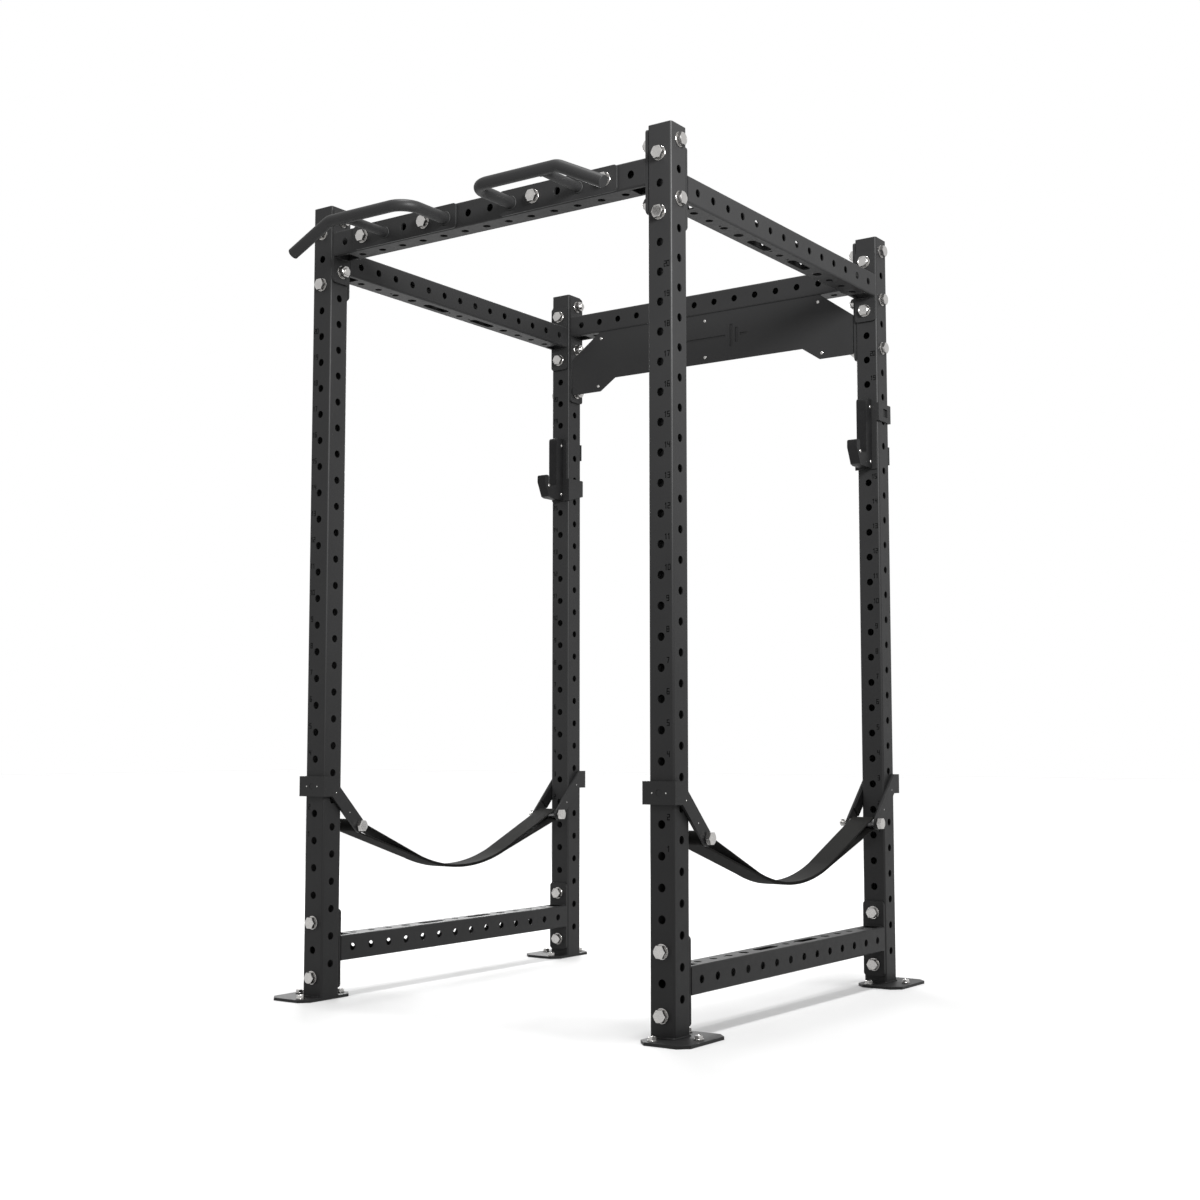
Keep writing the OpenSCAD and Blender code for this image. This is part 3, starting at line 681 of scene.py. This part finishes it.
def weld(bm, path, r, closed=True, seed=1):
    """Weld bead: a low rippled bar along a path."""
    rng = random.Random(seed)
    points = []
    pairs = list(zip(path, path[1:] + path[:1])) if closed else list(zip(path, path[1:]))
    for a, b in pairs:
        count = max(1, round((b - a).length / (1.0 * MM)))
        points += [a + (b - a) * i / count for i in range(count)]
    if not closed:
        points.append(path[-1])
    total = len(points)
    rings = []
    side = None
    for i, at in enumerate(points):
        if closed:
            direction = (points[(i + 1) % total] - points[i - 1]).normalized()
        else:
            direction = (points[min(i + 1, total - 1)] - points[max(i - 1, 0)]).normalized()
        side = side or direction.orthogonal().normalized()
        side = (side - direction * side.dot(direction)).normalized()
        other = direction.cross(side)
        swell = r * (0.86 + 0.12 * math.sin(i * 2 * math.pi / 2.6) + rng.uniform(-0.04, 0.04))
        if not closed and i in (0, total - 1):
            swell *= 0.6
        rings.append([at + swell * (math.cos(a) * side + math.sin(a) * other) for a in
                      (2 * math.pi * k / 10 for k in range(10))])
    return loft(bm, rings, closed=closed)


GRIP = {"leg_x": 112.5, "brace_x": 330, "end_x": 522, "knee_x": 384, "drop": 68, "reach": 168,
        "bend": 52, "up": -4, "d": 32, "brace_d": 25, "plate_w": 375, "plate_h": 68, "plate_r": 10, "plate_t": 6}


def grip(side):
    """Bent bar with a brace on a drilled plate that lies on the front beam."""
    node = "grip_" + side
    sign = 1 if side == "r" else -1
    face_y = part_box(node)[1][1]
    axis_z = BEAM_Z
    g = {key: value * MM for key, value in GRIP.items()}

    def at(x, y, z):
        return Vector((sign * x, face_y + y, axis_z + z))

    bar_y = -g["reach"]
    top = g["up"]
    back, across = Vector((0, -1, 0)), Vector((sign, 0, 0))
    slope = (at(g["end_x"], 0, top - g["drop"]) - at(g["knee_x"], 0, top)).normalized()
    path = [at(g["leg_x"], -g["plate_t"] + MM, top)]
    turn(path, at(g["leg_x"], bar_y, top), back, across, g["bend"], 20)
    turn(path, at(g["knee_x"], bar_y, top), across, slope, g["bend"], 10)
    path.append(at(g["end_x"], bar_y, top - g["drop"]))
    bm = bmesh.new()
    sweep(bm, path, g["d"] / 2, 40)
    brace = [at(g["brace_x"], -g["plate_t"] + MM, top), at(g["brace_x"], bar_y + 12 * MM, top)]
    sweep(bm, brace, g["brace_d"] / 2, 32)
    as_piece(bm, node + "_bar", MATERIALS["powder_coat"], "root", [node])
    plate = bmesh.new()
    middle = Vector((sign * (HOLE_PITCH + g["plate_w"] / 2), face_y, axis_z))
    holes = [(sign * x * HOLE_PITCH, 0, HOLE_R) for x in (-1, 0, 2)]
    flat_plate(plate, g["plate_w"], g["plate_h"], g["plate_r"], g["plate_t"], holes)
    spin = Matrix.Translation(middle) @ Matrix.Rotation(math.radians(90), 4, "X")
    bmesh.ops.transform(plate, matrix=spin, verts=plate.verts)
    as_piece(plate, node + "_plate", MATERIALS["powder_coat"], "root", ())
    beads = bmesh.new()
    for x, r in ((g["leg_x"], g["d"] / 2), (g["brace_x"], g["brace_d"] / 2)):
        ring = [at(x, -g["plate_t"], top) + Vector(((r + MM) * math.cos(a), -0.6 * MM, (r + MM) * math.sin(a)))
                for a in (2 * math.pi * k / 60 for k in range(60))]
        weld(beads, ring, WELD_R, seed=3)
    ring = []
    for k in range(60):
        a = 2 * math.pi * k / 60
        r = g["brace_d"] / 2 + 0.8 * MM
        z = r * math.sin(a)
        y = math.sqrt(max(0.0, (g["d"] / 2) ** 2 - z * z))
        ring.append(at(g["brace_x"] + r * math.cos(a), bar_y + y, top + z))
    weld(beads, ring, BRACE_WELD_R, seed=4)
    as_piece(beads, node + "_welds", MATERIALS["powder_coat"], "root", (), weighted=False)


def flat_plate(bm, w, h, r, t, holes, bevel=0.7 * MM):
    """Rounded plate from Z = 0 to t with drilled holes, each (x, y, radius), and broken edges."""
    def outline(inset, z):
        points = []
        for cx, cy, a0 in ((1, 1, 0), (-1, 1, 90), (-1, -1, 180), (1, -1, 270)):
            for i in range(9):
                a = math.radians(a0 + 90 * i / 8)
                points.append(Vector((cx * (w / 2 - r) + (r - inset) * math.cos(a),
                                      cy * (h / 2 - r) + (r - inset) * math.sin(a), z)))
        return points

    soft = bevel * 0.3
    levels = [(bevel, 0), (soft, soft), (0, bevel), (0, t - bevel), (soft, t - soft), (bevel, t)]
    walls = [[outline(inset, z) for inset, z in levels]]
    for x, y, hole_r in holes:
        walls.append([[Vector((x, y, 0)) + p for p in circle(hole_r + inset, z, 40)] for inset, z in levels])
    ends = [[], []]
    for rings in walls:
        rows = [[bm.verts.new(p) for p in ring] for ring in rings]
        for a, b in zip(rows, rows[1:]):
            for i in range(len(a)):
                j = (i + 1) % len(a)
                bm.faces.new((a[i], a[j], b[j], b[i]))
        for k, row in ((0, rows[0]), (1, rows[-1])):
            for i in range(len(row)):
                ends[k].append(bm.edges.get((row[i], row[(i + 1) % len(row)])))
    for edges in ends:
        bmesh.ops.triangle_fill(bm, edges=edges, use_beauty=True)


# ---------------------------------------------------------------- weld beads of the frame


def frame_welds():
    """Beads along the tops and undersides of the beams' ends and round the feet of the uprights."""
    bm = bmesh.new()
    for node in BEAMS:
        low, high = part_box(node)
        post = 0 if node in ("front_beam", "rear_beam") else 1
        other = 1 - post
        axis_z = (low[2] + high[2]) / 2 if post else BEAM_Z
        middle = (low[other] + high[other]) / 2
        for end, inward in ((low[post], 1), (high[post], -1)):
            for s in (-1, 1):
                at = Vector((0, 0, axis_z + s * 35.6 * MM))
                at[post] = end + inward * (END_PLATE_T + 0.6 * MM)
                a, b = at.copy(), at.copy()
                a[other], b[other] = middle - 28 * MM, middle + 28 * MM
                weld(bm, [a, b], WELD_R, closed=False, seed=5)
    for corner in CORNERS:
        low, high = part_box("upright_" + corner)
        z = low[2] + 0.8 * MM
        in_x = 1 if corner[1] == "l" else -1
        x_out, x_in = (low[0], high[0]) if in_x > 0 else (high[0], low[0])
        g = 0.8 * MM
        points = [Vector((x_in - in_x * 4 * MM, low[1] - g, z)), Vector((x_out - in_x * g, low[1] - g, z)),
                  Vector((x_out - in_x * g, high[1] + g, z)), Vector((x_in - in_x * 4 * MM, high[1] + g, z))]
        path = [points[0]]
        turn(path, points[1], (points[1] - points[0]).normalized(), (points[2] - points[1]).normalized(), 6 * MM, 8)
        turn(path, points[2], (points[2] - points[1]).normalized(), (points[3] - points[2]).normalized(), 6 * MM, 8)
        path.append(points[3])
        weld(bm, path, FOOT_WELD_R, closed=False, seed=6)
    as_piece(bm, "frame_welds", MATERIALS["powder_coat"], "root", (), weighted=False)


# ---------------------------------------------------------------- hole numbers

DIGIT_W, DIGIT_H, DIGIT_GAP = 6 * MM, 13 * MM, 2.6 * MM
INK_W, INK_T = 2.3 * MM, 0.12 * MM
STROKES = {
    "0": [(0, 0, 1, 0), (1, 0, 1, 2), (1, 2, 0, 2), (0, 2, 0, 0)], "1": [(0.5, 0, 0.5, 2), (0.5, 2, 0.1, 1.6)],
    "2": [(0, 2, 1, 2), (1, 2, 1, 1), (1, 1, 0, 1), (0, 1, 0, 0), (0, 0, 1, 0)],
    "3": [(0, 2, 1, 2), (1, 2, 1, 0), (0, 1, 1, 1), (0, 0, 1, 0)],
    "4": [(0, 2, 0, 1), (0, 1, 1, 1), (1, 2, 1, 0)],
    "5": [(1, 2, 0, 2), (0, 2, 0, 1), (0, 1, 1, 1), (1, 1, 1, 0), (1, 0, 0, 0)],
    "6": [(1, 2, 0, 2), (0, 2, 0, 0), (0, 0, 1, 0), (1, 0, 1, 1), (1, 1, 0, 1)],
    "7": [(0, 2, 1, 2), (1, 2, 0.4, 0)],
    "8": [(0, 0, 1, 0), (1, 0, 1, 2), (1, 2, 0, 2), (0, 2, 0, 0), (0, 1, 1, 1)],
    "9": [(1, 1, 0, 1), (0, 1, 0, 2), (0, 2, 1, 2), (1, 2, 1, 0), (1, 0, 0, 0)]}


def stroke(bm, a, b, y):
    """One thin bar with rounded ends from a to b, in X and Z, on the face at y."""
    direction = (b - a).normalized()
    across = Vector((-direction[1], direction[0]))
    outline = []
    for centre, a0 in ((b, -90), (a, 90)):
        for i in range(5):
            angle = math.radians(a0 + 180 * i / 4)
            outline.append(centre + INK_W / 2 * (math.cos(angle) * direction + math.sin(angle) * across))
    loft(bm, [[Vector((p[0], y + 0.05 * MM, p[1])) for p in outline],
              [Vector((p[0], y - INK_T, p[1])) for p in outline]])


def hole_numbers():
    for corner in CORNERS:
        low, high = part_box("upright_" + corner)
        out = -1 if corner[1] == "l" else 1
        centre = (low[0] + high[0]) / 2 + out * 20 * MM
        bm = bmesh.new()
        for number in range(1, 21):
            z = ROW_ONE + (number - 1) * HOLE_PITCH + 18 * MM
            digits = str(number)
            wide = len(digits) * DIGIT_W + (len(digits) - 1) * DIGIT_GAP
            for i, digit in enumerate(digits):
                left = centre - wide / 2 + i * (DIGIT_W + DIGIT_GAP)
                for x0, z0, x1, z1 in STROKES[digit]:
                    a, b = (Vector((left + x * DIGIT_W, z + (level - 1) * DIGIT_H / 2))
                            for x, level in ((x0, z0), (x1, z1)))
                    stroke(bm, a, b, low[1])
        as_piece(bm, "numbers_" + corner, NUMBER_INK, "root", (), weighted=False)


# ---------------------------------------------------------------- straps

WEB_W, WEB_T = 68 * MM, 4.4 * MM
SLEEVE_R = 13.4 * MM
BELLY, SLOPE = 200 * MM, math.radians(20.5)


def strap_path(reach, sleeve_z, layer):
    """Centreline of half a strap in Y and Z from the middle, round the sleeve and back."""
    belly_r = BELLY / math.sin(SLOPE)
    belly_z = sleeve_z - (reach - BELLY) * math.tan(SLOPE) - belly_r * (1 - math.cos(SLOPE))
    centre = Vector((0, belly_z + belly_r))
    sleeve = Vector((reach, sleeve_z))
    free = (reach - BELLY) / math.cos(SLOPE)
    parting = math.asin(SLEEVE_R / free)
    path = []

    def arc(c, r, a0, a1, steps):
        for i in range(steps + 1):
            a = a0 + (a1 - a0) * i / steps
            path.append(c + r * Vector((math.cos(a), math.sin(a))))

    down = -math.pi / 2
    arc(centre, belly_r - layer, down, down + SLOPE, 40)
    gap = SLEEVE_R + layer
    first = sleeve + gap * Vector((math.cos(math.pi / 2 + SLOPE + parting), math.sin(math.pi / 2 + SLOPE + parting)))
    last = path[-1]
    for i in range(1, 40):
        path.append(last + (first - last) * i / 40)
    arc(sleeve, gap, math.pi / 2 + SLOPE + parting, down + SLOPE - parting, 32)
    last = path[-1]
    target = centre + (belly_r + layer) * Vector((math.cos(down + SLOPE), math.sin(down + SLOPE)))
    for i in range(1, 40):
        path.append(last + (target - last) * i / 40)
    arc(centre, belly_r + layer, down + SLOPE, down, 40)
    return path


def webbing_section():
    """Outline of the webbing across X and through its thickness: low cords and rolled selvedges."""
    count = 34
    half = WEB_W / 2
    points = []
    for i in range(count + 1):
        x = -half + 1.6 * MM + (WEB_W - 3.2 * MM) * i / count
        cord = 0.10 * MM * math.cos(i * math.pi)
        points.append((x, WEB_T / 2 - 0.10 * MM + cord * (0.4 if 2 < i < count - 2 else 0)))
    for k in range(1, 6):
        a = math.pi / 2 - math.pi * k / 6
        points.append((half - 1.6 * MM + 1.6 * MM * math.cos(a), (WEB_T / 2 - 0.10 * MM) * math.sin(a)))
    return points + [(-x, -y) for x, y in points]


def strap_half(side, corner):
    """Half a strap: a loop of webbing from the middle of the cage round one sleeve."""
    low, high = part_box("strap_sleeve_" + corner)
    middle_y = (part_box("strap_" + side)[0][1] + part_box("strap_" + side)[1][1]) / 2
    sleeve_y, sleeve_z = (low[1] + high[1]) / 2, (low[2] + high[2]) / 2
    sign = 1 if sleeve_y > middle_y else -1
    centre_x = (low[0] + high[0]) / 2
    path = strap_path(abs(sleeve_y - middle_y), sleeve_z, WEB_T / 2 + 0.05 * MM)
    section = webbing_section()
    rings, lengths, run = [], [], 0.0
    for i, at in enumerate(path):
        a, b = path[max(0, i - 1)], path[min(len(path) - 1, i + 1)]
        tangent = (b - a).normalized()
        if i in (0, len(path) - 1):
            tangent = Vector((1 if i == 0 else -1, 0))
        normal = Vector((-tangent[1], tangent[0]))
        run += (at - path[i - 1]).length if i else 0
        lengths.append(run)
        rings.append([Vector((centre_x + x, middle_y + sign * (at[0] + t * normal[0]), at[1] + t * normal[1]))
                      for x, t in section])
    bm = bmesh.new()
    loft(bm, rings)
    uv = bm.loops.layers.uv.new("weave")
    bm.verts.ensure_lookup_table()
    count = len(section)
    across = [x for x, t in section]
    for face in bm.faces:
        for loop in face.loops:
            loop[uv].uv = (lengths[loop.vert.index // count], across[loop.vert.index % count])
    piece = as_piece(bm, "strap_web_" + corner, MATERIALS["webbing"], None, ["strap_" + side], False)
    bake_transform(piece, "root", "bracket_" + corner, start=(centre_x, middle_y, sleeve_z),
             end=(centre_x, sleeve_y - sign * 40 * MM, sleeve_z))
    return run


# ---------------------------------------------------------------- floor and light


def floor():
    n = Nodes("studio_floor")
    n.set("Base Color", n.mix(n.map(n.noise(2, 3), 0.3, 0.7, 0, 1), (0.500, 0.500, 0.500), (0.508, 0.508, 0.508)))
    n.set("Roughness", n.map(n.noise(3, 2), 0.3, 0.7, 0.62, 0.68))
    n.set("Specular IOR Level", 0.1)
    size = 30
    mesh = bpy.data.meshes.new("floor")
    mesh.from_pydata([(-size, -size, 0), (size, -size, 0), (size, size, 0), (-size, size, 0)], [], [(0, 1, 2, 3)])
    mesh.materials.append(n.material)
    ground = bpy.data.objects.new("floor", mesh)
    bpy.context.scene.collection.objects.link(ground)


def lamp(kind, name, place, aim, power, **settings):
    data = bpy.data.lights.new(name, kind)
    data.energy = power
    for key, value in settings.items():
        setattr(data, key, value)
    light = bpy.data.objects.new(name, data)
    light.location = place
    light.rotation_euler = (Vector(aim) - Vector(place)).to_track_quat("-Z", "Y").to_euler()
    light.visible_camera = False
    bpy.context.scene.collection.objects.link(light)


def studio():
    """White surroundings, an overhead light for the floor's shadows, and a key on the upper right."""
    world = bpy.data.worlds.new("studio")
    bpy.context.scene.world = world
    world.use_nodes = True
    world.node_tree.nodes["Background"].inputs["Color"].default_value = (1, 1, 1, 1)
    world.node_tree.nodes["Background"].inputs["Strength"].default_value = 1.0
    lamp("SUN", "overhead", (0.2, -0.1, 6), (0, 0, 0), 3.2, angle=math.radians(10))
    lamp("SPOT", "key", (2.9, -1.9, 2.7), (0.35, -0.2, 2.2), 1350, spot_size=math.radians(66), spot_blend=1.0,
         shadow_soft_size=0.5)
    lamp("AREA", "back_fill", (-3.4, 3.6, 3.0), (0, 0.2, 1.2), 160, shape="SQUARE", size=2.0)


# ---------------------------------------------------------------- the scene

bpy.context.scene.view_settings.view_transform = "Standard"
add_camera()
floor()
studio()
for name in [*BEAMS, "header_plate", *("upright_" + c for c in CORNERS), *("foot_" + c for c in CORNERS)]:
    refine(name, STEEL_EDGE)
refine("end_caps", SMALL_EDGE)
for corner in CORNERS:
    refine("strap_bracket_" + corner, STEEL_EDGE)
    refine("strap_pad_" + corner, PLASTIC_EDGE)
    refine("strap_sleeve_" + corner, SLEEVE_EDGE)
    refine("strap_screws_" + corner, SCREW_EDGE)
for side in SIDES:
    refine("hook_plate_" + side, STEEL_EDGE)
    refine("hook_liner_" + side, PLASTIC_EDGE, outline=LINER_OUTLINE)
    refine("hook_pin_" + side, SMALL_EDGE)
    grip(side)
frame_fasteners()
strap_bolts()
small_screws()
frame_welds()
hole_numbers()
for corner in CORNERS:
    strap_half(corner[1], corner)
